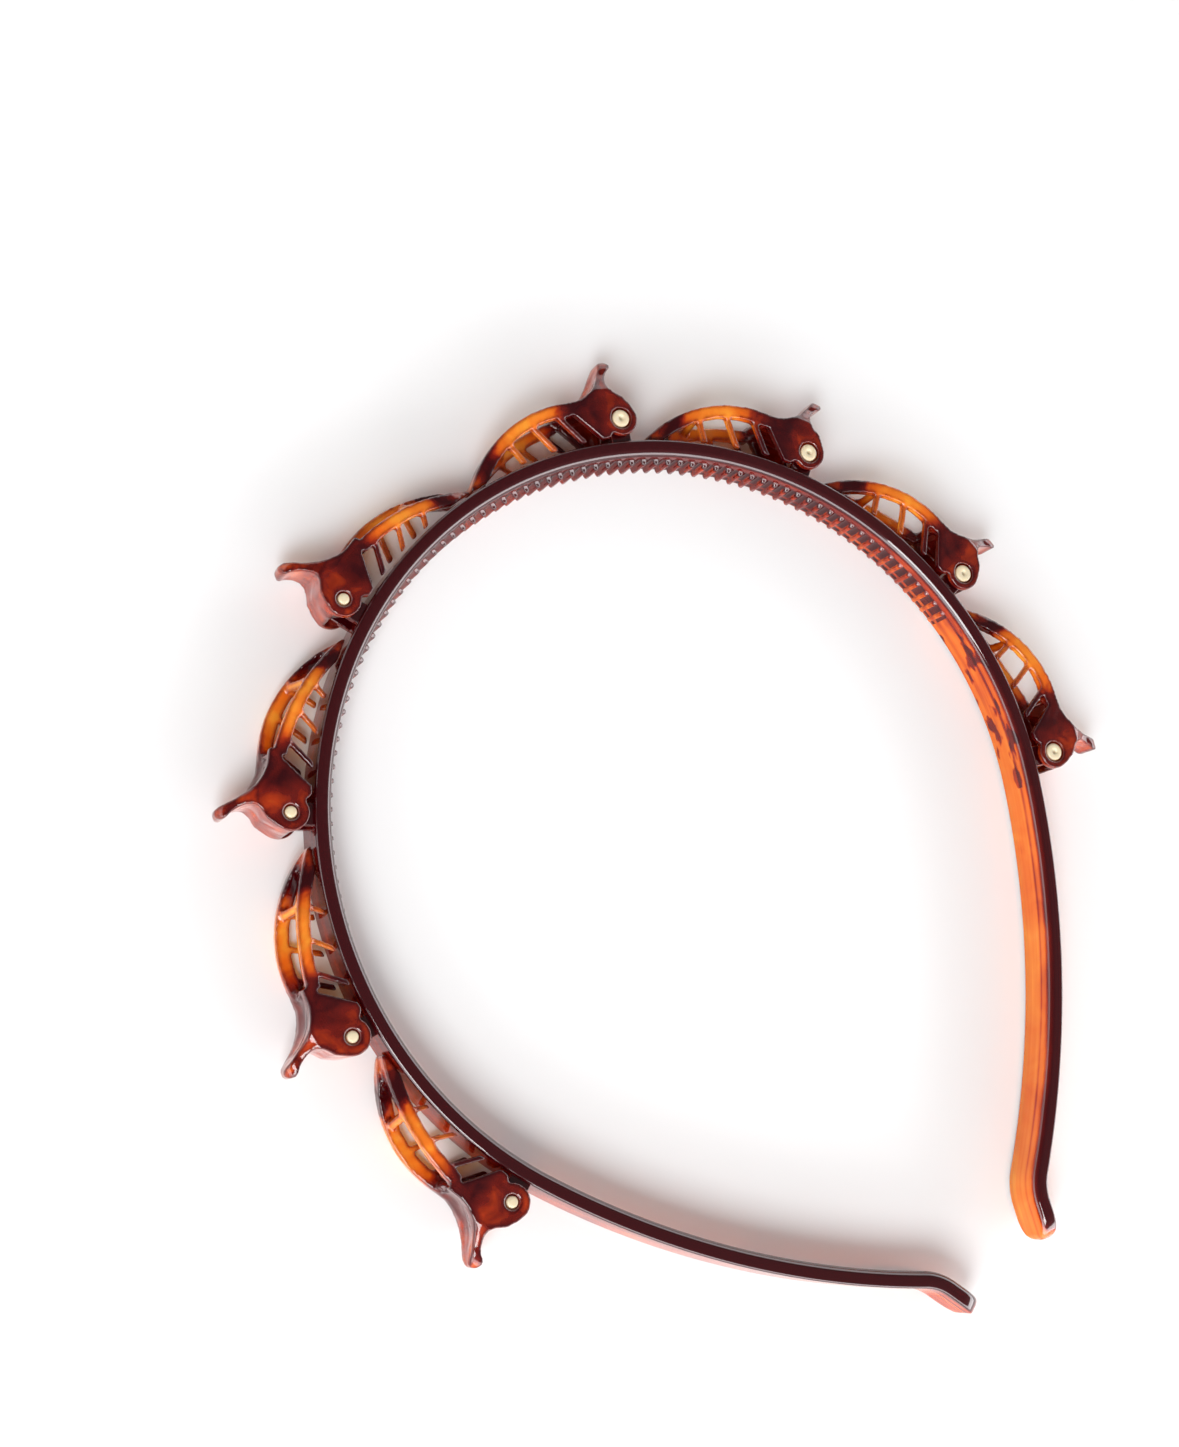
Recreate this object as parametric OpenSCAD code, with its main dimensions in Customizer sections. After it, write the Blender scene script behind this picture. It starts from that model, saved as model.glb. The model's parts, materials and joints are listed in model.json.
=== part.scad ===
// Clip headband: a moulded hoop with a comb inside and eight small sprung claw clips outside.
// It lies on its side. +Z is the axis of the hoop, the crown points to +Y and the legs to -Y.
// Lengths in millimetres.

/* [Hoop] */
// Centreline radius of the crown
crown_r = 61.75; // [50:0.25:75]
// Half of the crown's sweep, degrees from the apex
crown_half = 117; // [100:1:125]
// Centreline radius of a leg
leg_r = 149.75; // [100:0.25:250]
// Sweep of a leg, degrees
leg_sweep = 25; // [15:0.5:32]
// Width of the band, along the hoop's axis
band_w = 7.8; // [6:0.1:12]
// Thickness of the band
band_t = 2.7; // [1.6:0.1:3]
// Easing of the band's long edges
edge_ease = 0.45; // [0.2:0.05:0.9]
// Radius of its front inner edge
front_r = 1.25; // [0.6:0.05:1.4]

/* [Leg ends] */
// Outward bend of the end
end_bend = 32; // [15:1:45]
// Centreline radius of that bend
end_bend_r = 9; // [3:0.1:12]
// Length of the flat paddle after the bend
end_len = 6.15; // [5:0.05:14]

/* [Comb] */
// Angle from the apex that the comb reaches
comb_half = 88; // [60:1:110]
// Angle between two ribs
comb_step = 2.07; // [1.5:0.01:4]
// Thickness of a rib
rib_t = 0.7; // [0.5:0.1:1.2]
// Height of the ribs above the inner face, at the apex and at the comb's ends
rib_h = 1.1; // [0.8:0.05:3]
rib_h_end = 0.4; // [0.3:0.05:3]
// Length of a rib, across the band
rib_w = 5.4; // [4:0.1:7]
// Shift of the ribs from the mid plane
rib_shift = -1; // [-1.2:0.1:1.2]

/* [Clip row] */
// Angle of the first pin from the apex
first_pin = 25.4; // [20:0.1:30]
// Angle between two pins
pin_step = 29.4; // [26:0.1:32]
// Height of a pin's axis above the band's outer face
pin_rise = 3.65; // [3.2:0.05:5]

/* [Pin and lugs] */
// Radius of the pin's shaft
pin_r = 0.9; // [0.7:0.05:1.2]
// Radius of its head
head_r = 1.45; // [1.3:0.05:1.6]
// Thickness of the head
head_t = 0.7; // [0.4:0.05:0.8]
// Radius of a lug's rounded top, and half its length
lug_r = 1.7; // [1.5:0.05:1.9]
// Inner and outer faces of a lug, from the mid plane
lug_in = 1.7; // [1.5:0.05:2]
lug_out = 2.85; // [2.4:0.05:2.9]

/* [Jaw] */
// High rail: outer radius in side view, and its centre from the pin's axis, along and above the band
arch_r = 20.4; // [18:0.1:28]
arch_u = 8.5; // [6:0.1:10]
arch_v = -17.2; // [-24:0.1:-14]
// Depth of the high rail
rail_d = 2.2; // [1.6:0.1:3.2]
// Low rail: the same for its flatter curve
low_r = 33.4; // [28:0.1:40]
low_u = 1.4; // [-2:0.1:4]
low_v = -30.1; // [-36:0.1:-24]
low_d = 2.0; // [1.4:0.1:3]
// Reach of the nose from the pin's axis
nose_u = 27.1; // [22:0.1:28]
// Gap between the closed nose and the band
nose_gap = 0.35; // [0.3:0.05:0.8]
// Half width of the leaf at its widest, and the place of that
leaf_half = 4.4; // [4:0.05:5]
leaf_u = 11; // [8:0.1:16]
// Half width of the nose
nose_half = 2.1; // [1.5:0.1:3]
// Half width of the windows, and the place of that
window_half = 2.8; // [0.8:0.05:3]
window_u = 14; // [10:0.5:18]
// Cross-bar between the two windows: middle and width
bar_u = 20; // [16:0.1:24]
bar_w = 1.4; // [1:0.1:3]
// Its thickness
bar_t = 1.1; // [0.8:0.1:1.6]
// Radius of the ears round the pin
ear_r = 2.8; // [2.5:0.05:3]
// Inner face of an ear, from the mid plane
ear_in = 3.05; // [2.9:0.05:3.4]
// Radius of the space inside the hood, round the pin
hood_r = 2.1; // [1.9:0.05:2.3]
// Running clearance between shaft and ear, on the radius
run_gap = 0.05; // [0.02:0.01:0.1]
// Clearance between head and its recess, on the radius
head_gap = 0.3; // [0.1:0.01:0.4]
// Radius and depth of the dimple round the pin's tail
tail_r = 1.35; // [1.1:0.05:1.6]
tail_d = 0.35; // [0.2:0.05:0.5]

/* [Teeth] */
// Middle of a tooth from the leaf's edge
tooth_in = 0.85; // [0.6:0.05:1.2]
// Size of a tooth across the band and along it
tooth_z = 1.2; // [0.8:0.05:1.6]
tooth_u = 1.1; // [0.8:0.05:1.8]

/* [Finger tab] */
// Half width of the tab at its end
tab_half = 2.8; // [2:0.05:4]
// Radius of the dish in its outer face, and its depth
dish_r = 8; // [6:0.5:16]
dish_d = 0.75; // [0.2:0.05:0.8]

/* [Spring] */
// Radius of the wire
wire_r = 0.25; // [0.2:0.01:0.35]
// Radius of the coil's centreline
coil_r = 1.35; // [1.2:0.05:1.6]
// Turns in the coil
coil_n = 5; // [3:1:6]

/* [Hidden] */
// Roundness of arcs
$fn = 96;
// Half the width of the band
hw = band_w / 2;
// Outer and inner radii of the crown
out_r = crown_r + band_t / 2;
in_r = crown_r - band_t / 2;
// Radius from the crown's centre to a pin's axis
axis_r = out_r + pin_rise;
// Angle at which the leg meets its bend
kink_a = crown_half + leg_sweep;
// Centre of the leg's arc from the crown's centre
leg_cx = -(leg_r - crown_r) * sin(crown_half);
leg_cy = -(leg_r - crown_r) * cos(crown_half);
// Step in size from one stretch of the strap to the next, and the laps by which they overlap
lap_step = 0.03;
leg_lap = 0.4;
bend_lap = 4;
end_lap = 0.3;
// Kink from the crown's centre
kink_x = leg_cx + leg_r * sin(kink_a);
kink_y = leg_cy + leg_r * cos(kink_a);
// Lap of the two halves of the leaf at its mid plane
leaf_lap = 0.05;
// Radii whose sagittas give the leaf and the windows
leaf_r = pow(nose_u - leaf_u, 2) / (2 * (leaf_half - nose_half));
window_end = 25.4;
window_r = pow(window_end - window_u, 2) / (2 * window_half);
window_start = 8.6;
// Depth of the head's recess, and the plane of the ear's outer face
recess_d = head_t + 0.1;
ear_out = leaf_half;
// Top of the highest tab and end of the paddles, which set the middle of the part
tab_tip_v = 9.75;
tab_tip_r = 0.95;
// Heights at which the tab starts to narrow and its round end starts
waist_v = 5;
tab_round_v = tab_tip_v + tab_tip_r - tab_half + 0.1;
// Middle of the dish in the tab's outer face
dish_u = 2.15;
dish_v = 10.6;
top_y = (axis_r + tab_tip_v) * cos(first_pin) + tab_tip_r;
end_a = kink_a - end_bend;
end_y = kink_y - end_bend_r * (cos(end_a) - cos(kink_a)) - end_len * sin(end_a)
    + (band_t / 2 - 3 * lap_step) * cos(end_a);
mid_y = (top_y + end_y) / 2;
// Height of the mid plane above the floor
mid_z = leaf_half;

// Two rails, high and low. Columns: centre u, centre v, outer radius, depth
RAILS = [
    [arch_u, arch_v, arch_r, rail_d],
    [low_u, low_v, low_r, low_d],
];
// Teeth of a row. Columns: top u, bottom u, bottom v
TEETH = [
    [20.2, 17.4, -6.1],
    [16.0, 12.2, -4.4],
    [11.4, 7.0, -3.5],
];
// Body of the jaw in side view, from the front edge round to the ear. Columns: u, v
BODY = [
    [9.5, 1.9],
    [8.0, 1.2],
    [3.9, -3.2],
    [2.6, -3.1],
    [0, 0],
    [-2.75, 0.4],
    [-2.2, 1.9],
    [-1.0, 3.6],
    [0.6, 4.6],
    [5.0, 4.2],
    [7.0, 3.45],
    [9.5, 3.15],
];
// Finger tab in side view. Columns: u, v
TAB = [
    [9.5, 3.15],
    [8.2, 3.2],
    [6.8, 3.5],
    [5.4, 4.15],
    [4.1, 5.05],
    [3.1, 6.2],
    [2.3, 7.5],
    [1.6, 8.8],
    [1.0, 10.1],
    [-0.75, 9.35],
    [0.1, 8.5],
    [0.8, 7.4],
    [1.2, 6.3],
    [1.1, 5.3],
    [0.4, 4.4],
    [-0.9, 3.4],
    [3.0, 2.2],
    [9.5, 1.9],
];
tab_tip_u = 0.1;

// Puts the crown's centre where the part's frame has it
module set_in_frame() {
    translate([0, -mid_y, mid_z]) children();
}

// Puts a child from clip axes (u to the apex, v outward, z across) at clip i.
// One kind of clip serves both arms, turned round about its v axis on the left one.
module at_clip(i) {
    right = i <= 4;
    place = right ? 4 - i : i - 5;
    set_in_frame()
        mirror([right ? 1 : 0, 0, 0])
            rotate([0, 0, first_pin + pin_step * place])
                translate([0, axis_r, 0])
                    mirror([0, 0, right ? 0 : 1])
                        children();
}

// Cross-section of the strap with eased edges, its middle at radius r, smaller by d all round
module strap_section(r, d = 0) {
    b = edge_ease;
    t = band_t / 2 - d;
    w = hw - d;
    front_edge = [for (a = [90:30:180]) [r - t + front_r * (1 + cos(a)), w - front_r * (1 - sin(a))]];
    polygon(concat([
        [r - t, -w + b], [r - t + b, -w], [r + t - b, -w], [r + t, -w + b], [r + t, w - b], [r + t - b, w],
    ], front_edge));
}

// Strap along an arc from angle a, measured from +Y toward +X, through sweep s
module strap_arc(r, a, s, d = 0) {
    rotate([0, 0, 90 - a - s])
        rotate_extrude(angle = s, $fn = 240)
            strap_section(r, d);
}

// One end of the hoop: the bend and the rounded paddle
module leg_end() {
    translate([kink_x, kink_y, 0])
        rotate([0, 0, -kink_a]) {
            // Here +X runs on along the leg and +Y points outward
            translate([0, end_bend_r, 0])
                rotate([0, 0, -90 - bend_lap])
                    rotate_extrude(angle = end_bend + bend_lap, $fn = 96)
                        strap_section(end_bend_r, 2 * lap_step);
            translate([end_bend_r * sin(end_bend), end_bend_r * (1 - cos(end_bend)), 0])
                rotate([0, 0, end_bend])
                    paddle();
        }
}

// Flat paddle along +X with a half-round end
module paddle() {
    intersection() {
        translate([-end_lap, 0, 0])
            rotate([0, 90, 0])
                linear_extrude(height = end_len + end_lap)
                    rotate([0, 0, 90])
                        strap_section(0, 3 * lap_step);
        rotate([90, 0, 0])
            linear_extrude(height = 2 * band_t, center = true) {
                translate([-1, -hw]) square([end_len - hw + 1, band_w]);
                translate([end_len - hw, 0]) circle(hw);
            }
    }
}

// Leg on the right with its end, the crown's centre at the origin
module leg() {
    translate([leg_cx, leg_cy, 0])
        strap_arc(leg_r, crown_half - leg_lap, leg_sweep + leg_lap, lap_step);
    leg_end();
}

// Point at radius r and angle a from +Y toward +X
function at(r, a) = [r * sin(a), r * cos(a)];

// Ribs of the comb on the inner face, joined by a core inside the strap
module comb() {
    n = floor(comb_half / comb_step);
    half_rib = asin(rib_t / 2 / in_r);
    core_in = in_r + band_t * 0.3;
    core_out = in_r + band_t * 0.7;
    function tip(k) = in_r - rib_h + (rib_h - rib_h_end) * abs(k) / n;
    inner = [for (k = [-n:n], p = [
        at(core_in, k * comb_step - half_rib),
        at(tip(k), k * comb_step - half_rib),
        at(tip(k), k * comb_step + half_rib),
        at(core_in, k * comb_step + half_rib),
    ]) p];
    outer = [for (k = [n:-1:-n]) at(core_out, k * comb_step)];
    translate([0, 0, rib_shift])
        linear_extrude(height = rib_w, center = true) polygon(concat(inner, outer));
}

// Pair of lugs of one clip, in clip axes
module lugs() {
    for (s = [-1, 1])
        translate([0, 0, s * (lug_in + lug_out) / 2])
            difference() {
                linear_extrude(height = lug_out - lug_in, center = true) {
                    circle(lug_r);
                    translate([-lug_r, -pin_rise - band_t / 2])
                        square([2 * lug_r, pin_rise + band_t / 2]);
                }
                cylinder(r = pin_r, h = 2 * band_w, center = true);
            }
}

module band() {
    color([0.45, 0.08, 0.03]) {
        set_in_frame() {
            strap_arc(crown_r, -crown_half, 2 * crown_half);
            for (s = [0, 1]) mirror([s, 0, 0]) leg();
            comb();
        }
        for (i = [1:8]) at_clip(i) lugs();
    }
}

// Plan shape bounded by two arcs: half width h at u = m, arc radius r
module lens(m, h, r) {
    intersection() {
        translate([m, h - r]) circle(r, $fn = 360);
        translate([m, r - h]) circle(r, $fn = 360);
    }
}

// Height of a rail's middle at u, and half width of the leaf there
function rail_mid(rail, u) = rail[1] + sqrt(pow(rail[2], 2) - pow(u - rail[0], 2)) - rail[3] / 2;
function leaf_at(u) = leaf_half - leaf_r + sqrt(pow(leaf_r, 2) - pow(u - leaf_u, 2));

// Rail in side view
module arch_side(rail) {
    intersection() {
        translate([rail[0], rail[1]]) difference() {
            circle(rail[2], $fn = 240);
            circle(rail[2] - rail[3], $fn = 240);
        }
        translate([arch_u, -12]) square([nose_u - arch_u, 24]);
    }
}

// Leaf in plan, with its window
module leaf_plan() {
    difference() {
        union() {
            intersection() {
                lens(leaf_u, leaf_half, leaf_r);
                translate([leaf_u, -leaf_half]) square([nose_u - leaf_u, 2 * leaf_half]);
            }
            translate([arch_u, -leaf_half]) square([leaf_u - arch_u, 2 * leaf_half]);
        }
        difference() {
            lens(window_u, window_half, window_r);
            translate([0, -leaf_half]) square([window_start, 2 * leaf_half]);
        }
    }
}

// High front rail and low back rail, which meet at the hood and the nose
module rails() {
    intersection() {
        union() {
            translate([0, 0, -leaf_lap])
                linear_extrude(height = leaf_half + leaf_lap) arch_side(RAILS[0]);
            translate([0, 0, -leaf_half])
                linear_extrude(height = leaf_half + leaf_lap) arch_side(RAILS[1]);
        }
        translate([0, 12, 0])
            rotate([90, 0, 0])
                linear_extrude(height = 24) leaf_plan();
    }
}

// Slanting bar across the window, from rail to rail
module cross_bar() {
    reach = leaf_at(bar_u) - tooth_in;
    high = rail_mid(RAILS[0], bar_u);
    low = rail_mid(RAILS[1], bar_u);
    translate([bar_u + bar_w / 2, 0, 0])
        rotate([0, -90, 0])
            linear_extrude(height = bar_w)
                polygon([
                    [-reach, low - bar_t / 2],
                    [reach, high - bar_t / 2],
                    [reach, high + bar_t / 2],
                    [-reach, low + bar_t / 2],
                ]);
}

// Slanting teeth below the rails
module jaw_teeth() {
    for (t = TEETH, s = [0, 1]) {
        top_v = rail_mid(RAILS[s], t[0]);
        translate([0, 0, (1 - 2 * s) * (leaf_at(t[0]) - tooth_in)])
            linear_extrude(height = tooth_z, center = true)
                polygon([
                    [t[0] - tooth_u / 2, top_v],
                    [t[0] + tooth_u / 2, top_v],
                    [t[1] + tooth_u / 2, t[2]],
                    [t[1] - tooth_u / 2, t[2]],
                ]);
    }
}

// Hood with its two ears, still solid
module hood_block() {
    linear_extrude(height = 2 * ear_out, center = true) {
        polygon(BODY);
        circle(ear_r);
    }
}

// Finger tab, curled outward, with its dish and rounded end
module finger_tab() {
    intersection() {
        linear_extrude(height = 2 * leaf_half, center = true) {
            polygon(TAB);
            translate([tab_tip_u, tab_tip_v]) circle(tab_tip_r, $fn = 48);
        }
        rotate([0, -90, 0])
            linear_extrude(height = 40, center = true) {
                translate([-leaf_half, 0]) square([2 * leaf_half, waist_v]);
                translate([-tab_half, 0]) square([2 * tab_half, tab_round_v]);
                translate([0, tab_round_v]) circle(tab_half);
                for (s = [-1, 1])
                    polygon([
                        [0, waist_v], [s * leaf_half, waist_v],
                        [s * tab_half, tab_round_v], [0, tab_round_v],
                    ]);
            }
    }
}

// Space inside the hood for lugs, coil and their sweep
module hood_space() {
    linear_extrude(height = 2 * ear_in, center = true) {
        circle(hood_r);
        polygon([
            [-hood_r, 0], [-hood_r - 1, -0.3], [-hood_r - 1, -6], [12, -6],
            [12, 0.9], [8.6, 1.35], [4, 2.0], [0, hood_r],
        ]);
    }
}

module jaw() {
    color([0.62, 0.16, 0.04])
        difference() {
            union() {
                difference() {
                    union() {
                        hood_block();
                        finger_tab();
                    }
                    hood_space();
                    // Dish in the outer face of the tab
                    translate([dish_u + dish_r - dish_d, dish_v, 0])
                        sphere(dish_r);
                }
                rails();
                cross_bar();
                jaw_teeth();
            }
            cylinder(r = pin_r + run_gap, h = 4 * leaf_half, center = true);
            // Shape of the closed band under the nose
            translate([0, -axis_r, 0])
                cylinder(r = out_r + nose_gap, h = 4 * leaf_half, center = true, $fn = 360);
            // Recess of the head in the front ear
            translate([0, 0, ear_out - recess_d])
                cylinder(r = head_r + head_gap, h = leaf_half);
            // Dimple of the tail in the back ear
            translate([0, 0, -2 * ear_out])
                cylinder(r = tail_r, h = ear_out + tail_d);
        }
}

module pin() {
    color([0.93, 0.87, 0.72]) {
        translate([0, 0, -ear_out + 0.1])
            cylinder(r = pin_r, h = 2 * ear_out - 0.2 - head_t / 2);
        translate([0, 0, ear_out - head_t - 0.05])
            cylinder(r = head_r, h = head_t);
    }
}

// Coil round the pin with one arm on the band and a short one at the rear wall
module coil_spring() {
    pitch = 2 * wire_r * 0.92;
    color([0.75, 0.75, 0.77]) {
        rotate_extrude()
            for (k = [0:coil_n - 1])
                translate([coil_r, (k - (coil_n - 1) / 2) * pitch]) circle(wire_r, $fn = 24);
        translate([0, -coil_r, 0])
            rotate([0, 90, -24])
                cylinder(r = wire_r, h = 5, $fn = 24);
        translate([-coil_r, 0, 0])
            rotate([-90, 0, 0])
                cylinder(r = wire_r, h = 1.1, $fn = 24);
    }
}

band();
at_clip(1) jaw();  // clip_jaw_1
at_clip(2) jaw();  // clip_jaw_2
at_clip(3) jaw();  // clip_jaw_3
at_clip(4) jaw();  // clip_jaw_4
at_clip(5) jaw();  // clip_jaw_5
at_clip(6) jaw();  // clip_jaw_6
at_clip(7) jaw();  // clip_jaw_7
at_clip(8) jaw();  // clip_jaw_8
at_clip(1) pin();  // hinge_pin_1
at_clip(2) pin();  // hinge_pin_2
at_clip(3) pin();  // hinge_pin_3
at_clip(4) pin();  // hinge_pin_4
at_clip(5) pin();  // hinge_pin_5
at_clip(6) pin();  // hinge_pin_6
at_clip(7) pin();  // hinge_pin_7
at_clip(8) pin();  // hinge_pin_8
at_clip(1) coil_spring();  // spring_1
at_clip(2) coil_spring();  // spring_2
at_clip(3) coil_spring();  // spring_3
at_clip(4) coil_spring();  // spring_4
at_clip(5) coil_spring();  // spring_5
at_clip(6) coil_spring();  // spring_6
at_clip(7) coil_spring();  // spring_7
at_clip(8) coil_spring();  // spring_8
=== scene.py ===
# Looks of a tortoiseshell clip headband that lies on its side on a pale floor.
# Lengths are in metres and angles in degrees.
# The part's frame has +Z along the hoop's axis and +Y to its crown.
import json
import math

import bmesh
import bpy
from mathutils import Matrix, Vector


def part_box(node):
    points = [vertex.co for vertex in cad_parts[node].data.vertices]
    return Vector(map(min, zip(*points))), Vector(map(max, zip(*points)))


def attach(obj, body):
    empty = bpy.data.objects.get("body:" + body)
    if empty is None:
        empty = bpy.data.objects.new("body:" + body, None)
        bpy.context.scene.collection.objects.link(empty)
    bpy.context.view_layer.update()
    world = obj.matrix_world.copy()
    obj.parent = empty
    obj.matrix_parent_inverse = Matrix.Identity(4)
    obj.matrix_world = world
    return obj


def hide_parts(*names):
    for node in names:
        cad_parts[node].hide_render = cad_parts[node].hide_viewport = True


MM = 0.001

# Hoop: centreline radii, sweeps and the strap's section
CROWN_R = 61.75 * MM
CROWN_HALF = 117
LEG_R = 149.75 * MM
LEG_SWEEP = 25
BEND_R = 9 * MM
BEND = 32
PADDLE_LEN = 6.1 * MM
STRAP_T = 2.7 * MM
EDGE_R = 0.55 * MM
FRONT_EDGE_R = 1.25 * MM
# Steps of the swept strap along the crown past the comb, the leg, the bend, the paddle and its round tip
CROWN_STEPS, LEG_STEPS, BEND_STEPS, PADDLE_STEPS, TIP_STEPS = 20, 40, 18, 3, 20
# Round tip: distance over which it thins, its least share of the thickness, and the turn at which it ends
TIP_ROUND = 1.3 * MM
TIP_LEAST = 0.3
TIP_TURN = 87

# Faces of the hoop whose normal's z is under this are its inner and outer walls, which are less glossy
WALL_TILT = 0.4

# Degrees round a corner of the strap, with a narrow flat between two short arcs
CORNER = [9, 22, 36, 54, 68, 81]
# Points across the strap's outer face, as shares of half its flat width
OUTER_FACE = [1, 0.4, -0.4, -1]

# Comb: pitch and reach along the crown, size of a rib, and its place across the strap
RIB_PITCH = 2.07
RIB_COUNT = 42
RIB_H_APEX = 1.1 * MM
RIB_H_END = 0.4 * MM
# Rib's profile along the strap. Columns: degrees from its middle, share of its height
RIB_PROFILE = [(-0.42, 0), (-0.34, 0.72), (-0.22, 0.98), (0, 1), (0.22, 0.98), (0.34, 0.72), (0.42, 0)]
# Rib's profile across the strap. Columns: z from the mid plane in mm, share of its height
RIB_ACROSS = [
    (-3.35, 0), (-3.28, 0.75), (-3.1, 1), (-1.6, 1), (0, 1), (1.3, 1), (1.52, 0.75), (1.62, 0),
    (2.2, 0), (2.65, 0),
]

# Clip: lugs, pin and spring in clip axes (u to the apex, v outward, z across)
LUG_R = 1.7 * MM
LUG_Z = (1.7 * MM, 2.85 * MM)
LUG_DROP = 4.2 * MM
LUG_EDGE_R = 0.18 * MM
WIRE_R = 0.25 * MM
COIL_R = 1.35 * MM
COIL_TURNS = 5
COIL_PITCH = 0.56 * MM
# Spring's arms, from the ends of the coil
JAW_ARM = Vector((4.2, 1.2, 0)) * MM
BAND_ARM = Vector((-1.0, 0.4, 0)) * MM
FIRST_PIN = 25.4
PIN_STEP = 29.4
JAW_VOXEL = 0.25 * MM

# Camera that matches the photograph
CAMERA_AT = Vector((-152.2, 46.78, 321.6)) * MM
CAMERA_LOOK = Vector((0.4204, -0.0415, -0.9064))
CAMERA_UP = Vector((0.5324, 0.8202, 0.2094))
PHOTO_H = 1447
FOCAL_PX = 2223
SENSOR = 36

# Studio light by height. Columns: sine of the elevation, red, green and blue
RING_LIGHT = [
    (0.0, 0.95, 0.93, 0.96), (0.28, 1.0, 0.99, 1.0), (0.40, 1.0, 0.99, 1.0), (0.48, 0.06, 0.06, 0.06),
    (1.0, 0.035, 0.035, 0.035),
]
RING_STRENGTH = 6
# Side that the ring is brightest on, how fast and from where it fades, and its far side's share of light
RING_SIDE = (-0.2, -0.95)
RING_FADE = 0.75
RING_MIDDLE = 0.55
RING_FAR = 0.26
KEY_AT = Vector((-0.75, -0.25, 0.8))
KEY_SIZE = 0.5
KEY_POWER = 10
FLOOR_REACH = 3
FLOOR = (0.82, 0.82, 0.82, 1)

CLIPS = range(1, 9)


def new_object(name, bm, smooth=True):
    """Turns a bmesh into an object with outward normals."""
    bmesh.ops.recalc_face_normals(bm, faces=bm.faces)
    mesh = bpy.data.meshes.new(name)
    bm.to_mesh(mesh)
    bm.free()
    for face in mesh.polygons:
        face.use_smooth = smooth
    made = bpy.data.objects.new(name, mesh)
    bpy.context.scene.collection.objects.link(made)
    return made


def skin_rings(bm, rings):
    """Joins rings of points by quads, and caps the two ends."""
    made = [[bm.verts.new(p) for p in ring] for ring in rings]
    count = len(made[0])
    for a, b in zip(made, made[1:]):
        for k in range(count):
            bm.faces.new((a[k], a[(k + 1) % count], b[(k + 1) % count], b[k]))
    bm.faces.new(made[0])
    bm.faces.new(made[-1])


def weighted(piece):
    """Keeps flat faces flat in smooth shading."""
    piece.modifiers.new("weighted", "WEIGHTED_NORMAL").keep_sharp = True


# Camera, floor and light
def make_camera():
    look = CAMERA_LOOK.normalized()
    up = (CAMERA_UP - look * CAMERA_UP.dot(look)).normalized()
    side = look.cross(up)
    data = bpy.data.cameras.new("camera")
    data.lens = SENSOR * FOCAL_PX / PHOTO_H
    data.sensor_width = SENSOR
    data.clip_start = 0.01
    data.clip_end = 20
    camera = bpy.data.objects.new("camera", data)
    turn = Matrix((side, up, -look)).transposed()
    camera.matrix_world = Matrix.Translation(CAMERA_AT) @ turn.to_4x4()
    bpy.context.scene.collection.objects.link(camera)
    bpy.context.scene.camera = camera


def make_floor():
    bm = bmesh.new()
    bmesh.ops.create_grid(bm, x_segments=1, y_segments=1, size=FLOOR_REACH)
    floor = new_object("floor", bm, smooth=False)
    mat = bpy.data.materials.new("floor")
    mat.use_nodes = True
    shader = mat.node_tree.nodes["Principled BSDF"]
    shader.inputs["Base Color"].default_value = FLOOR
    shader.inputs["Roughness"].default_value = 0.9
    shader.inputs["Specular IOR Level"].default_value = 0.1
    floor.data.materials.append(mat)


def make_key():
    """Soft square light that shines on the middle of the hoop."""
    data = bpy.data.lights.new("key", "AREA")
    data.size = KEY_SIZE
    data.energy = KEY_POWER
    lamp = bpy.data.objects.new("key", data)
    lamp.location = KEY_AT
    lamp.rotation_euler = (-KEY_AT).to_track_quat("-Z", "Y").to_euler()
    bpy.context.scene.collection.objects.link(lamp)


def make_lights():
    """Low ring of light, brightest in front of the hoop, which draws the edges, under a dim ceiling."""
    world = bpy.data.worlds.new("studio")
    bpy.context.scene.world = world
    world.use_nodes = True
    nodes, links = world.node_tree.nodes, world.node_tree.links
    coords = nodes.new("ShaderNodeTexCoord")
    split = nodes.new("ShaderNodeSeparateXYZ")
    ring = nodes.new("ShaderNodeValToRGB")
    set_ramp(ring, RING_LIGHT)
    links.new(coords.outputs["Generated"], split.inputs["Vector"])
    links.new(split.outputs["Z"], ring.inputs["Fac"])
    links.new(ring.outputs["Color"], nodes["Background"].inputs["Color"])
    x_fade, y_fade = (RING_FADE * part for part in RING_SIDE)
    side = math_node(nodes, links, "MULTIPLY_ADD", split.outputs["X"], x_fade, RING_MIDDLE)
    side = math_node(nodes, links, "MULTIPLY_ADD", split.outputs["Y"], y_fade, side, clamp=True)
    share = math_node(nodes, links, "MULTIPLY_ADD", side, 1 - RING_FAR, RING_FAR)
    strength = math_node(nodes, links, "MULTIPLY", share, RING_STRENGTH)
    links.new(strength, nodes["Background"].inputs["Strength"])
    make_key()
    view = bpy.context.scene.view_settings
    view.view_transform = "Standard"
    view.look = "None"


# Places
def clip_axes(i):
    """Matrix from clip axes to the part's frame. One kind of clip is turned round for the left arm."""
    joint = frame["joints"][i - 1]
    pin = Vector(joint["pos_m"])
    out = (pin - CROWN_AT).normalized()
    side = joint["axis"][2]
    along = Vector((side * out.y, -side * out.x, 0))
    turn = Matrix((along, out, (0, 0, -side))).transposed()
    return Matrix.Translation(pin) @ turn.to_4x4()


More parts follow.
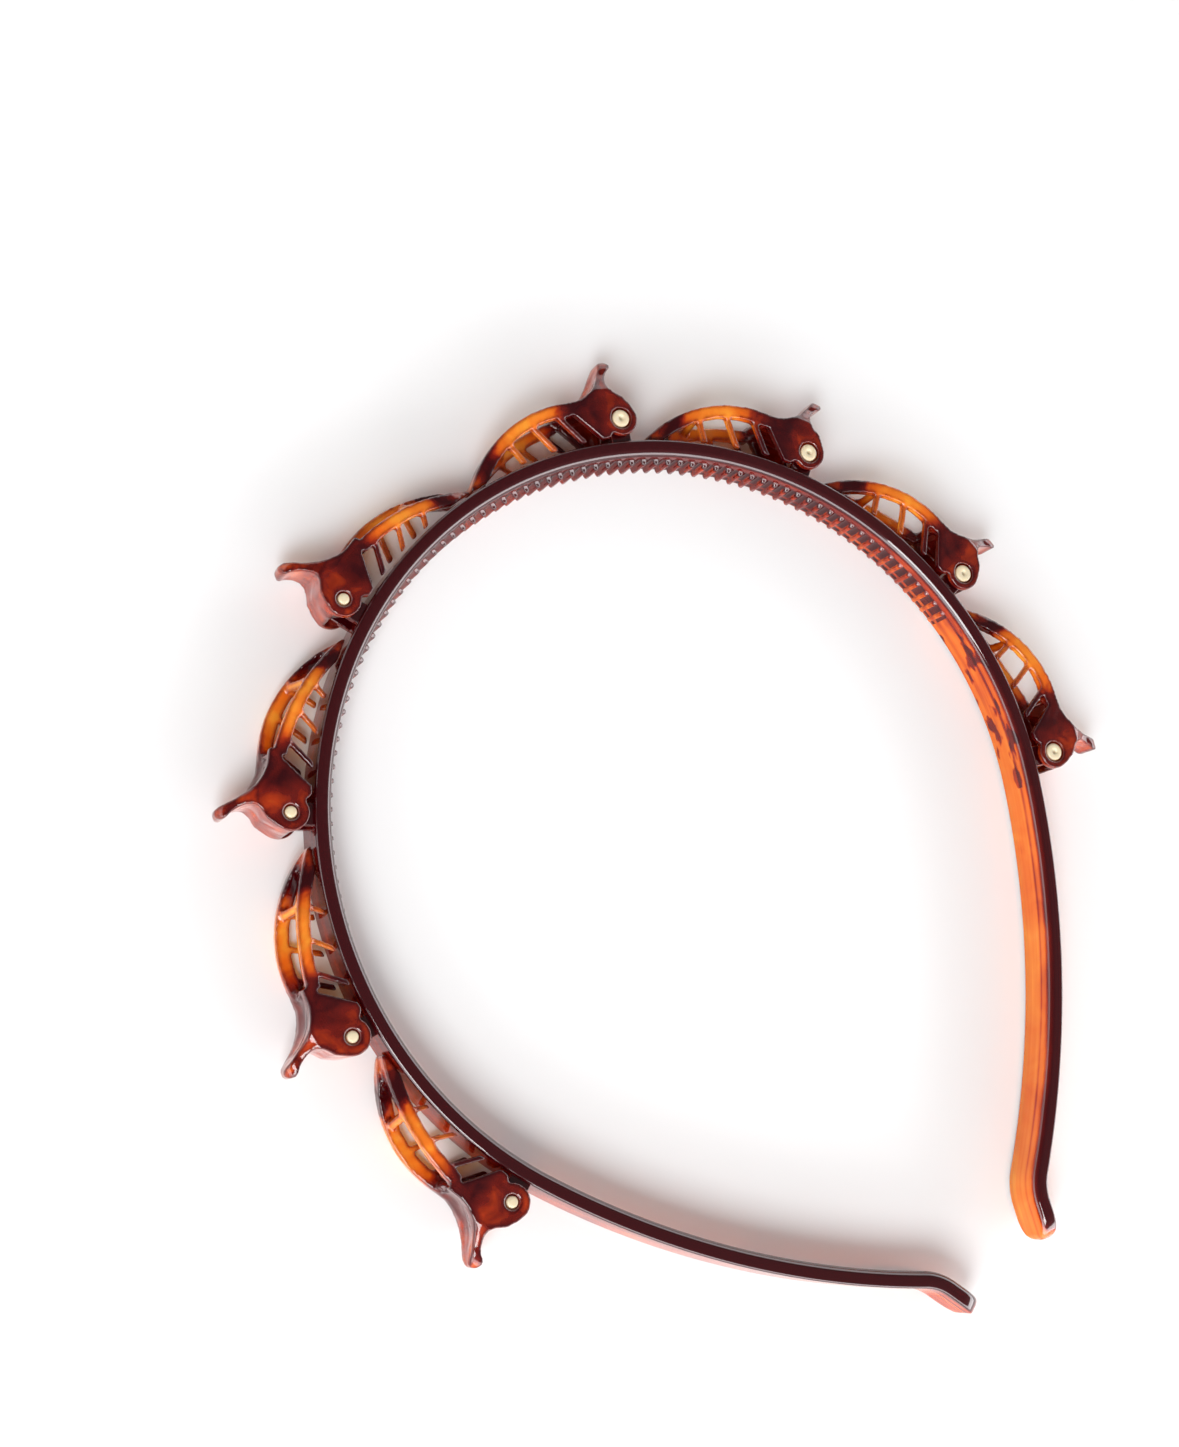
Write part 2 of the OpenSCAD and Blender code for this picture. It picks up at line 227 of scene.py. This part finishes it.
# Hoop
def half_path():
    """Stations from the apex to the right end.

    Each has its point, outward normal, half width, rib height and share of the full thickness.
    """
    half_w = STRAP_W / 2
    stations = []

    def arc(centre, radius, angle, rib=0):
        a = math.radians(angle)
        out = Vector((math.sin(a), math.cos(a), 0))
        stations.append((centre + out * radius, out, half_w, rib, 1))

    for k in range(RIB_COUNT + 1):
        height = RIB_H_APEX + (RIB_H_END - RIB_H_APEX) * k / RIB_COUNT
        for turn, share in RIB_PROFILE:
            if k or turn >= 0:
                arc(CROWN_AT, CROWN_R, k * RIB_PITCH + turn, height * share)
        arc(CROWN_AT, CROWN_R, (k + 0.5) * RIB_PITCH)
    start = (RIB_COUNT + 1) * RIB_PITCH
    for k in range(CROWN_STEPS + 1):
        arc(CROWN_AT, CROWN_R, start + (CROWN_HALF - start) * k / CROWN_STEPS)
    a = math.radians(CROWN_HALF)
    leg_at = CROWN_AT - Vector((math.sin(a), math.cos(a), 0)) * (LEG_R - CROWN_R)
    for k in range(1, LEG_STEPS + 1):
        arc(leg_at, LEG_R, CROWN_HALF + LEG_SWEEP * k / LEG_STEPS)

    kink, out = stations[-1][0], stations[-1][1]
    ahead = Vector((out.y, -out.x, 0))
    bend_at = kink + out * BEND_R
    for k in range(1, BEND_STEPS + 1):
        b = math.radians(BEND * k / BEND_STEPS)
        normal = out * math.cos(b) - ahead * math.sin(b)
        stations.append((bend_at - normal * BEND_R, normal, half_w, 0, 1))
    end, normal = stations[-1][0], stations[-1][1]
    ahead = Vector((normal.y, -normal.x, 0))
    round_from = PADDLE_LEN - half_w
    for k in range(1, PADDLE_STEPS + 1):
        stations.append((end + ahead * round_from * k / PADDLE_STEPS, normal, half_w, 0, 1))
    for k in range(1, TIP_STEPS + 1):
        b = math.radians(TIP_TURN) * k / TIP_STEPS
        at = end + ahead * (round_from + half_w * math.sin(b))
        left = min(1, half_w * (1 - math.sin(b)) / TIP_ROUND)
        thick = max(TIP_LEAST, math.sqrt(1 - (1 - left) ** 2))
        stations.append((at, normal, half_w * math.cos(b), 0, thick))
    return stations


def strap_ring(station):
    """Section of the strap at a station, with the rib on its inner face.

    The front inner edge is the roundest.
    """
    at, out, half_w, rib, thick = station
    half_t = STRAP_T / 2
    full = STRAP_W / 2
    squeeze = half_w / full
    ring = [(-half_t - rib * share, z * MM * squeeze) for z, share in RIB_ACROSS]
    corners = [(-1, 1, 180, FRONT_EDGE_R), (1, 1, 90, EDGE_R), (1, -1, 0, EDGE_R), (-1, -1, -90, EDGE_R)]
    for cx, cz, first, edge in corners:
        for part in CORNER:
            a = math.radians(first - part)
            r = cx * (half_t - edge) + edge * math.cos(a)
            z = cz * (full - edge) + edge * math.sin(a)
            ring.append((r, z * squeeze))
        if cx > 0 and cz > 0:
            ring += [(half_t, share * (full - edge) * squeeze) for share in OUTER_FACE]
    return [at + out * r * thick + Vector((0, 0, z)) for r, z in ring]


def make_hoop():
    right = half_path()
    flip = Vector((-1, 1, 1))
    left = [(p * flip, n * flip, *rest) for p, n, *rest in reversed(right[1:])]
    bm = bmesh.new()
    skin_rings(bm, [strap_ring(s) for s in left + right])
    hoop = new_object("hoop", bm)
    for face in hoop.data.polygons:
        face.material_index = int(abs(face.normal.z) < WALL_TILT)
    weighted(hoop)
    return hoop


def make_lugs():
    """All the round-topped lugs that hold the pins."""
    bm = bmesh.new()
    steps = 20
    outline = [(-LUG_R, -LUG_DROP), (LUG_R, -LUG_DROP)]
    turns = [math.pi * k / steps for k in range(steps + 1)]
    outline += [(LUG_R * math.cos(t), LUG_R * math.sin(t)) for t in turns]
    for i in CLIPS:
        axes = clip_axes(i)
        for side in (-1, 1):
            rings = [[axes @ Vector((u, v, side * z)) for u, v in outline] for z in LUG_Z]
            skin_rings(bm, rings)
    lugs = new_object("lugs", bm)
    bevel = lugs.modifiers.new("edges", "BEVEL")
    bevel.width = LUG_EDGE_R
    bevel.segments = 3
    weighted(lugs)
    return lugs


# Pin's outline from its rear end to the dimple in its head. Columns: radius and z in mm
PIN_PROFILE = [
    (0.3, -4.3), (0.7, -4.28), (0.86, -4.15), (0.9, -4.0), (0.9, 3.6), (1.3, 3.62), (1.42, 3.7),
    (1.45, 3.85), (1.43, 4.08), (1.34, 4.22), (1.15, 4.3), (0.95, 4.33), (0.7, 4.33), (0.5, 4.28),
    (0.36, 4.15), (0.26, 3.98), (0.15, 3.9), (0.04, 3.88),
]


def make_pin(i):
    """Turned piece on the clip's z axis."""
    axes = clip_axes(i)
    steps = 40
    turns = [2 * math.pi * k / steps for k in range(steps)]
    bm = bmesh.new()
    rings = []
    for r, z in PIN_PROFILE:
        ring = [Vector((r * math.cos(t), r * math.sin(t), z)) * MM for t in turns]
        rings.append([axes @ point for point in ring])
    skin_rings(bm, rings)
    return new_object(f"pin_{i}", bm)


def make_spring(i):
    """Wire coil round the pin with its two arms."""
    axes = clip_axes(i)
    per_turn = 20
    count = COIL_TURNS * per_turn
    path = []
    for k in range(count + 1):
        t = 2 * math.pi * k / per_turn - math.pi / 2
        z = (k / count - 0.5) * COIL_PITCH * COIL_TURNS
        path.append(Vector((COIL_R * math.cos(t), COIL_R * math.sin(t), z)))
    path.append(path[-1] + JAW_ARM)
    path.insert(0, path[0] + BAND_ARM)
    bm = bmesh.new()
    sides = 10
    rings = []
    for k, p in enumerate(path):
        ahead = (path[min(k + 1, len(path) - 1)] - path[max(k - 1, 0)]).normalized()
        across = ahead.cross(Vector((0, 0, 1))).normalized()
        up = across.cross(ahead)
        turns = [2 * math.pi * j / sides for j in range(sides)]
        rings.append([axes @ (p + WIRE_R * (math.cos(t) * across + math.sin(t) * up)) for t in turns])
    skin_rings(bm, rings)
    return new_object(f"coil_{i}", bm)


def soften_jaw(node):
    """Rounds the moulded edges of a jaw and its joints with the teeth."""
    weld = node.modifiers.new("weld", "WELD")
    weld.merge_threshold = 0.001 * MM
    remesh = node.modifiers.new("remesh", "REMESH")
    remesh.mode = "VOXEL"
    remesh.voxel_size = JAW_VOXEL
    remesh.use_smooth_shade = True
    smooth = node.modifiers.new("smooth", "SMOOTH")
    smooth.factor = 0.5
    smooth.iterations = 5


# Materials
def material(name):
    mat = bpy.data.materials.new(name)
    mat.use_nodes = True
    return mat, mat.node_tree.nodes, mat.node_tree.links


def set_ramp(ramp, stops):
    """Stops are rows of place, red, green and blue."""
    elements = ramp.color_ramp.elements
    while len(elements) > 1:
        elements.remove(elements[-1])
    for k, (place, r, g, b) in enumerate(stops):
        element = elements[0] if k == 0 else elements.new(place)
        element.position = place
        element.color = (r, g, b, 1)


# Plastic's colours from clear to dark. Columns: place, red, green and blue
CLOUDS = [
    (0.24, 0.98, 0.50, 0.05), (0.34, 0.89, 0.27, 0.025), (0.44, 0.80, 0.16, 0.010),
    (0.53, 0.44, 0.040, 0.006), (0.61, 0.17, 0.009, 0.005), (0.74, 0.045, 0.001, 0.003),
]
# Darkness along a jaw from its pin to its nose, as a share of the pins' pitch. Columns: place, darkness
JAW_FLOW = [
    (0.0, 0.54), (0.07, 0.56), (0.14, 0.68), (0.24, 0.66), (0.32, 0.42), (0.45, 0.26), (0.58, 0.30),
    (0.65, 0.44), (0.69, 0.72), (0.74, 0.70), (0.79, 0.46), (0.86, 0.42), (0.92, 0.52), (1.0, 0.56),
]
# Darkness along the hoop from the left end over the crown to the right, as a share of a full turn
STRAP_FLOW = [
    (0.05, 0.50), (0.17, 0.53), (0.25, 0.57), (0.40, 0.60), (0.55, 0.60), (0.66, 0.57), (0.73, 0.50),
    (0.77, 0.44), (0.80, 0.40), (0.95, 0.38),
]
# Painted shade on the faces that look along the hoop's axis, standing in for the light that crosses the
# strap's whole width, and how fast and from what tilt it sets in
PAINTED_AXIS_SHADE = (0.05, 0.0008, 0.003, 1)
FACING_GAIN = 4
FACING_FROM = 0.725
# Share of light that goes through the plastic, the colour that its depth keeps and how fast the rest fades
CLEARNESS = 0.4
DEPTH_TINT = (0.96, 0.80, 0.0, 1)
DEPTH_DENSITY = 1800
# Light that a shadow of the plastic still has
PASSING_LIGHT = (0.42, 0.4, 0.4, 1)
# Clouds per metre: in the strap, in a jaw, in the jaw's flow and in its polish
STRAP_CLOUDS = 120
JAW_CLOUDS = 300
FLOW_CLOUDS = 160
RIPPLE_CLOUDS = 200
# How much the clouds change the strap's darkness and its middle, a jaw's darkness and its flow
STRAP_SPREAD = 0.24
STRAP_MIDDLE = -0.23
JAW_SPREAD = 0.3
JAW_WOBBLE = 0.16
# Height of the ripple in the polish of the jaws
RIPPLE = 0.5 * MM
# Jaw's edges: width, how fast they set in and how much painted shade darkens them. Its fronts get painted
# shade too
EDGE_WIDTH = 0.8 * MM
EDGE_GAIN = 24
PAINTED_EDGE_SHADE = 0.36
PAINTED_FRONT_SHADE = 0.05
# Finger tab: distance from the crown's centre where it turns clearer, the way it takes, and by how much
TAB_FROM = 71 * MM
TAB_FADE = 3 * MM
TAB_CLEAR = 0.04
# Comb's grooves: share of the pitch on either side of a rib's middle, depth into the wall, z reach,
# plain strip and painted shade between the ribs
GROOVE_FROM = 0.2
GROOVE_IN = 0.1 * MM
GROOVE_Z = (-3.2 * MM, 1.5 * MM)
STRIP_Z = (-2.4 * MM, -1.7 * MM)
GROOVE_PAINTED_SHADE = 0.2
# Streaks along the strap: per turn and per metre of width, and their strength
STREAKS = (16, 900)
STREAK_DARK = 0.22
# Painted shade across the strap, darkest by its front edge, for the look of a translucent bar. Columns:
# place from its back edge to its front edge, added darkness
STRAP_PAINTED_SHADE = [
    (0, 0), (0.3, 0.01), (0.6, 0), (0.67, 0.14), (0.74, 0.03), (0.84, 0.06), (0.93, 0.25), (1, 0.3),
]
# Painted shade of the nearest lug, seen through the plastic as dark spots by the clip nearest to the right
# leg: per turn and per metre of width, how sharp they are, where they start in the noise, the middle and
# reach of their stretch, and their darkness
SEEN_LUG_SPOTS = (75, 330)
SEEN_LUG_GAIN = 16
SEEN_LUG_FROM = 0.55625
SEEN_LUG_AT = 104
SEEN_LUG_REACH = 14
SEEN_LUG_SHADE = 0.17


def math_node(nodes, links, kind, *values, clamp=False):
    """Math node whose inputs are sockets or numbers; returns its output."""
    node = nodes.new("ShaderNodeMath")
    node.operation = kind
    node.use_clamp = clamp
    for socket, value in zip(node.inputs, values):
        if isinstance(value, (int, float)):
            socket.default_value = value
        else:
            links.new(value, socket)
    return node.outputs[0]


def clouds(nodes, links, scale, offset, detail=3):
    """Soft noise fixed to the piece."""
    coords = nodes.new("ShaderNodeTexCoord")
    place = nodes.new("ShaderNodeMapping")
    place.inputs["Location"].default_value = offset
    noise = nodes.new("ShaderNodeTexNoise")
    noise.inputs["Scale"].default_value = scale
    noise.inputs["Detail"].default_value = detail
    noise.inputs["Roughness"].default_value = 0.5
    noise.inputs["Distortion"].default_value = 0.6
    links.new(coords.outputs["Object"], place.inputs["Vector"])
    links.new(place.outputs["Vector"], noise.inputs["Vector"])
    return noise.outputs["Fac"]


def jaw_flow(nodes, links):
    """Darkness of a jaw by its place along the clip."""
    coords = nodes.new("ShaderNodeTexCoord")
    split = nodes.new("ShaderNodeSeparateXYZ")
    links.new(coords.outputs["Object"], split.inputs["Vector"])
    across = math_node(nodes, links, "ABSOLUTE", split.outputs["X"])
    up = math_node(nodes, links, "SUBTRACT", split.outputs["Y"], CROWN_AT.y)
    angle = math_node(nodes, links, "ARCTAN2", across, up)
    pitch = math.radians(PIN_STEP)
    turned = math_node(nodes, links, "MULTIPLY_ADD", angle, -1 / pitch, FIRST_PIN / PIN_STEP)
    wobble = clouds(nodes, links, FLOW_CLOUDS, (0.2, 0.7, 0.4))
    wobble = math_node(nodes, links, "MULTIPLY_ADD", wobble, JAW_WOBBLE, -JAW_WOBBLE / 2)
    phase = math_node(nodes, links, "FRACT", math_node(nodes, links, "ADD", turned, wobble))
    flow = nodes.new("ShaderNodeValToRGB")
    set_ramp(flow, [(place, dark, dark, dark) for place, dark in JAW_FLOW])
    links.new(phase, flow.inputs["Fac"])
    return flow.outputs["Color"]


def tortoise(name, darkness, coat, gloss, strap):
    """Translucent plastic whose clouds run from amber to near black.

    darkness makes the socket that places them. The strap has painted shade in maroon on its faces in front
    and behind, and a jaw has a ripple in its polish.
    """
    mat, nodes, links = material(name)
    ramp = nodes.new("ShaderNodeValToRGB")
    set_ramp(ramp, CLOUDS)
    links.new(darkness(nodes, links), ramp.inputs["Fac"])
    shader = nodes["Principled BSDF"]
    # Painted shade in maroon on the strap's faces that look along the hoop's axis
    colour = paint_axis_shade(nodes, links, ramp.outputs["Color"]) if strap else ramp.outputs["Color"]
    links.new(colour, shader.inputs["Base Color"])
    shader.inputs["Roughness"].default_value = 0.08
    shader.inputs["IOR"].default_value = 1.49
    shader.inputs["Transmission Weight"].default_value = CLEARNESS
    shader.inputs["Specular IOR Level"].default_value = gloss
    shader.inputs["Coat Weight"].default_value = coat
    shader.inputs["Coat Roughness"].default_value = 0.03
    volume = nodes.new("ShaderNodeVolumeAbsorption")
    volume.inputs["Color"].default_value = DEPTH_TINT
    volume.inputs["Density"].default_value = DEPTH_DENSITY
    links.new(volume.outputs["Volume"], nodes["Material Output"].inputs["Volume"])
    let_light_through(mat, PASSING_LIGHT)
    if not strap:
        add_ripple(nodes, links, shader)
    return mat


def add_ripple(nodes, links, shader):
    """Makes the polish slightly uneven, as on small moulded pieces."""
    ripple = nodes.new("ShaderNodeBump")
    ripple.inputs["Strength"].default_value = 1
    ripple.inputs["Distance"].default_value = RIPPLE
    height = clouds(nodes, links, RIPPLE_CLOUDS, (0.3, 0.9, 0.1), detail=1)
    links.new(height, ripple.inputs["Height"])
    links.new(ripple.outputs["Normal"], shader.inputs["Normal"])
    links.new(ripple.outputs["Normal"], shader.inputs["Coat Normal"])


def paint_axis_shade(nodes, links, colour):
    """Paints shade on the faces that look along the hoop's axis, for the light that comes through the
    whole width.
    """
    mix = nodes.new("ShaderNodeMix")
    mix.data_type = "RGBA"
    links.new(facing_axis(nodes, links), mix.inputs["Factor"])
    links.new(colour, mix.inputs["A"])
    mix.inputs["B"].default_value = PAINTED_AXIS_SHADE
    return mix.outputs["Result"]


def strap_darkness(nodes, links):
    """Darkness of the hoop by its place round the crown and across the strap, with painted shade across
    it, in the comb's grooves and from a lug seen through it.
    """
    coords = nodes.new("ShaderNodeTexCoord")
    split = nodes.new("ShaderNodeSeparateXYZ")
    links.new(coords.outputs["Object"], split.inputs["Vector"])
    up = math_node(nodes, links, "SUBTRACT", split.outputs["Y"], CROWN_AT.y)
    angle = math_node(nodes, links, "ARCTAN2", split.outputs["X"], up)
    turn = math_node(nodes, links, "MULTIPLY_ADD", angle, 1 / (2 * math.pi), 0.5)
    flow = nodes.new("ShaderNodeValToRGB")
    set_ramp(flow, [(place, dark, dark, dark) for place, dark in STRAP_FLOW])
    links.new(turn, flow.inputs["Fac"])
    spread = clouds(nodes, links, STRAP_CLOUDS, (0.6, 0.2, 0.8))
    spread = math_node(nodes, links, "MULTIPLY_ADD", spread, STRAP_SPREAD, STRAP_MIDDLE)
    dark = math_node(nodes, links, "ADD", flow.outputs["Color"], spread)
    height = math_node(nodes, links, "SUBTRACT", split.outputs["Z"], CROWN_AT.z)
    fine = streaks(nodes, links, turn, height, STREAKS)
    dark = math_node(nodes, links, "MULTIPLY_ADD", fine, STREAK_DARK, dark)
    # Painted shade across the strap, darkest by its front edge
    across = nodes.new("ShaderNodeValToRGB")
    set_ramp(across, [(place, shade, shade, shade) for place, shade in STRAP_PAINTED_SHADE])
    links.new(math_node(nodes, links, "MULTIPLY_ADD", height, 1 / STRAP_W, 0.5), across.inputs["Fac"])
    dark = math_node(nodes, links, "ADD", dark, across.outputs["Color"])
    # Painted shade of a lug seen through the plastic, as dark spots near the first clip
    spots = streaks(nodes, links, turn, height, SEEN_LUG_SPOTS)
    start = -SEEN_LUG_GAIN * SEEN_LUG_FROM
    spots = math_node(nodes, links, "MULTIPLY_ADD", spots, SEEN_LUG_GAIN, start, clamp=True)
    off = math_node(nodes, links, "SUBTRACT", angle, math.radians(SEEN_LUG_AT))
    off = math_node(nodes, links, "ABSOLUTE", off)
    near = math_node(nodes, links, "LESS_THAN", off, math.radians(SEEN_LUG_REACH))
    spots = math_node(nodes, links, "MULTIPLY", spots, near)
    dark = math_node(nodes, links, "MULTIPLY_ADD", spots, SEEN_LUG_SHADE, dark)
    # Painted shade in the grooves between the comb's ribs
    between_ribs = grooves(nodes, links, split, angle, height)
    return math_node(nodes, links, "MULTIPLY_ADD", between_ribs, GROOVE_PAINTED_SHADE, dark)


def streaks(nodes, links, turn, height, size):
    """Noise laid along the strap. size is a pair of counts: per turn and per metre of width."""
    place = nodes.new("ShaderNodeCombineXYZ")
    links.new(math_node(nodes, links, "MULTIPLY", turn, size[0]), place.inputs["X"])
    links.new(math_node(nodes, links, "MULTIPLY", height, size[1]), place.inputs["Y"])
    noise = nodes.new("ShaderNodeTexNoise")
    noise.inputs["Scale"].default_value = 1
    noise.inputs["Detail"].default_value = 2
    links.new(place.outputs["Vector"], noise.inputs["Vector"])
    return noise.outputs["Fac"]


def grooves(nodes, links, split, angle, height):
    """1 between the ribs of the comb and 0 elsewhere."""
    pitch = math.radians(RIB_PITCH)
    phase = math_node(nodes, links, "MULTIPLY_ADD", angle, 1 / pitch, 0.5)
    phase = math_node(nodes, links, "FRACT", phase)
    off = math_node(nodes, links, "ABSOLUTE", math_node(nodes, links, "SUBTRACT", phase, 0.5))
    between = math_node(nodes, links, "GREATER_THAN", off, GROOVE_FROM)
    above = math_node(nodes, links, "GREATER_THAN", height, GROOVE_Z[0])
    below = math_node(nodes, links, "LESS_THAN", height, GROOVE_Z[1])
    turned = math_node(nodes, links, "ABSOLUTE", angle)
    reach = math_node(nodes, links, "LESS_THAN", turned, (RIB_COUNT + 0.5) * pitch)
    up = math_node(nodes, links, "SUBTRACT", split.outputs["Y"], CROWN_AT.y)
    x_part = math_node(nodes, links, "MULTIPLY", split.outputs["X"], split.outputs["X"])
    square = math_node(nodes, links, "MULTIPLY_ADD", up, up, x_part)
    inner = CROWN_R - STRAP_T / 2 + GROOVE_IN
    inside = math_node(nodes, links, "LESS_THAN", square, inner * inner)
    off_strip = math_node(nodes, links, "SUBTRACT", height, (STRIP_Z[0] + STRIP_Z[1]) / 2)
    off_strip = math_node(nodes, links, "ABSOLUTE", off_strip)
    beside = math_node(nodes, links, "GREATER_THAN", off_strip, (STRIP_Z[1] - STRIP_Z[0]) / 2)
    mask = between
    for part in (above, below, beside, reach, inside):
        mask = math_node(nodes, links, "MULTIPLY", mask, part)
    return mask


def jaw_darkness(nodes, links):
    """Darkness of a jaw: its flow and clouds, painted shade along the edges and on the fronts, and clearer
    in the finger tab.
    """
    fine = clouds(nodes, links, JAW_CLOUDS, (0.1, 0.2, 0.5), detail=4)
    spread = math_node(nodes, links, "MULTIPLY_ADD", fine, JAW_SPREAD, -JAW_SPREAD / 2)
    dark = math_node(nodes, links, "ADD", jaw_flow(nodes, links), spread)
    # Painted shade along the jaw's edges, on outer edges and creases alike
    dark = math_node(nodes, links, "MULTIPLY_ADD", edges(nodes, links), PAINTED_EDGE_SHADE, dark)
    coords = nodes.new("ShaderNodeTexCoord")
    offset = nodes.new("ShaderNodeVectorMath")
    offset.operation = "DISTANCE"
    links.new(coords.outputs["Object"], offset.inputs[0])
    offset.inputs[1].default_value = CROWN_AT
    start = -TAB_FROM / TAB_FADE
    tab = math_node(nodes, links, "MULTIPLY_ADD", offset.outputs["Value"], 1 / TAB_FADE, start, clamp=True)
    front = facing_axis(nodes, links)
    # Painted shade on the jaw's faces that look along the hoop's axis
    dark = math_node(nodes, links, "MULTIPLY_ADD", front, PAINTED_FRONT_SHADE, dark)
    curled = math_node(nodes, links, "MULTIPLY_ADD", front, -1, 1)
    tab = math_node(nodes, links, "MULTIPLY", tab, curled)
    return math_node(nodes, links, "MULTIPLY_ADD", tab, -TAB_CLEAR, dark)


def edges(nodes, links):
    """1 along the edges, where the normals turn, and 0 on the faces."""
    geometry = nodes.new("ShaderNodeNewGeometry")
    rounded = nodes.new("ShaderNodeBevel")
    rounded.samples = 4
    rounded.inputs["Radius"].default_value = EDGE_WIDTH
    agree = nodes.new("ShaderNodeVectorMath")
    agree.operation = "DOT_PRODUCT"
    links.new(geometry.outputs["Normal"], agree.inputs[0])
    links.new(rounded.outputs["Normal"], agree.inputs[1])
    differ = math_node(nodes, links, "SUBTRACT", 1, agree.outputs["Value"])
    return math_node(nodes, links, "MULTIPLY", differ, EDGE_GAIN, clamp=True)


def facing_axis(nodes, links):
    """1 on faces that look along the hoop's axis and 0 on the others."""
    coords = nodes.new("ShaderNodeTexCoord")
    split = nodes.new("ShaderNodeSeparateXYZ")
    links.new(coords.outputs["Normal"], split.inputs["Vector"])
    facing = math_node(nodes, links, "ABSOLUTE", split.outputs["Z"])
    start = -FACING_GAIN * FACING_FROM
    return math_node(nodes, links, "MULTIPLY_ADD", facing, FACING_GAIN, start, clamp=True)


def let_light_through(mat, tint):
    """Lets a tinted share of the light pass to the floor, as clear plastic does."""
    nodes, links = mat.node_tree.nodes, mat.node_tree.links
    path = nodes.new("ShaderNodeLightPath")
    clear = nodes.new("ShaderNodeBsdfTransparent")
    clear.inputs["Color"].default_value = tint
    mix = nodes.new("ShaderNodeMixShader")
    links.new(path.outputs["Is Shadow Ray"], mix.inputs["Fac"])
    links.new(nodes["Principled BSDF"].outputs["BSDF"], mix.inputs[1])
    links.new(clear.outputs["BSDF"], mix.inputs[2])
    links.new(mix.outputs["Shader"], nodes["Material Output"].inputs["Surface"])


def cream_plastic():
    mat, nodes, links = material("pin_plastic")
    shader = nodes["Principled BSDF"]
    shader.inputs["Base Color"].default_value = (0.62, 0.53, 0.36, 1)
    shader.inputs["Roughness"].default_value = 0.35
    shader.inputs["Subsurface Weight"].default_value = 0.2
    shader.inputs["Subsurface Radius"].default_value = (0.001, 0.0006, 0.0003)
    shader.inputs["Subsurface Scale"].default_value = 1
    return mat


def spring_wire():
    mat, nodes, links = material("spring_wire")
    shader = nodes["Principled BSDF"]
    shader.inputs["Base Color"].default_value = (0.6, 0.6, 0.62, 1)
    shader.inputs["Metallic"].default_value = 1
    shader.inputs["Roughness"].default_value = 0.3
    return mat


def dress(piece, mat, slot, body, *replaced):
    piece.data.materials.clear()
    piece.data.materials.append(mat)
    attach(piece, body)
    if replaced:
        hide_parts(*replaced)


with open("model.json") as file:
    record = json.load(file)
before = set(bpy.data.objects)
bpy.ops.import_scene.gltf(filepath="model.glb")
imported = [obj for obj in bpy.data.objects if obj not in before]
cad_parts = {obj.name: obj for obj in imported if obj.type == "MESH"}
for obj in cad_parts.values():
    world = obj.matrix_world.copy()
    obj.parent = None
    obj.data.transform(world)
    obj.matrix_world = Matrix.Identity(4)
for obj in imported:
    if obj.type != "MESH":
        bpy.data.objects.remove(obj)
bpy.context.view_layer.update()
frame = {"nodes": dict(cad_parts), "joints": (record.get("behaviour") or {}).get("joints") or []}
band_lo, band_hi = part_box("band")
STRAP_W = band_hi.z - band_lo.z
CROWN_AT = Vector((0, band_hi.y - CROWN_R - STRAP_T / 2, (band_lo.z + band_hi.z) / 2))

make_camera()
make_floor()
make_lights()

strap_mat = tortoise("tortoise_strap", strap_darkness, coat=1, gloss=0.1, strap=True)
wall_mat = tortoise("tortoise_wall", strap_darkness, coat=0.15, gloss=0.1, strap=True)
jaw_mat = tortoise("tortoise_jaw", jaw_darkness, coat=0.5, gloss=0.2, strap=False)
pin_mat = cream_plastic()
wire_mat = spring_wire()

hoop = make_hoop()
walls = [face.material_index for face in hoop.data.polygons]
dress(hoop, strap_mat, "tortoiseshell", "band", "band")
hoop.data.materials.append(wall_mat)
hoop.data.polygons.foreach_set("material_index", walls)
dress(make_lugs(), strap_mat, "tortoiseshell", "band")
for i in CLIPS:
    node = frame["nodes"][f"clip_jaw_{i}"]
    soften_jaw(node)
    node.material_slots[0].material = jaw_mat
    dress(make_pin(i), pin_mat, "pin_plastic", "band", f"hinge_pin_{i}")
    dress(make_spring(i), wire_mat, "spring_wire", "band", f"spring_{i}")
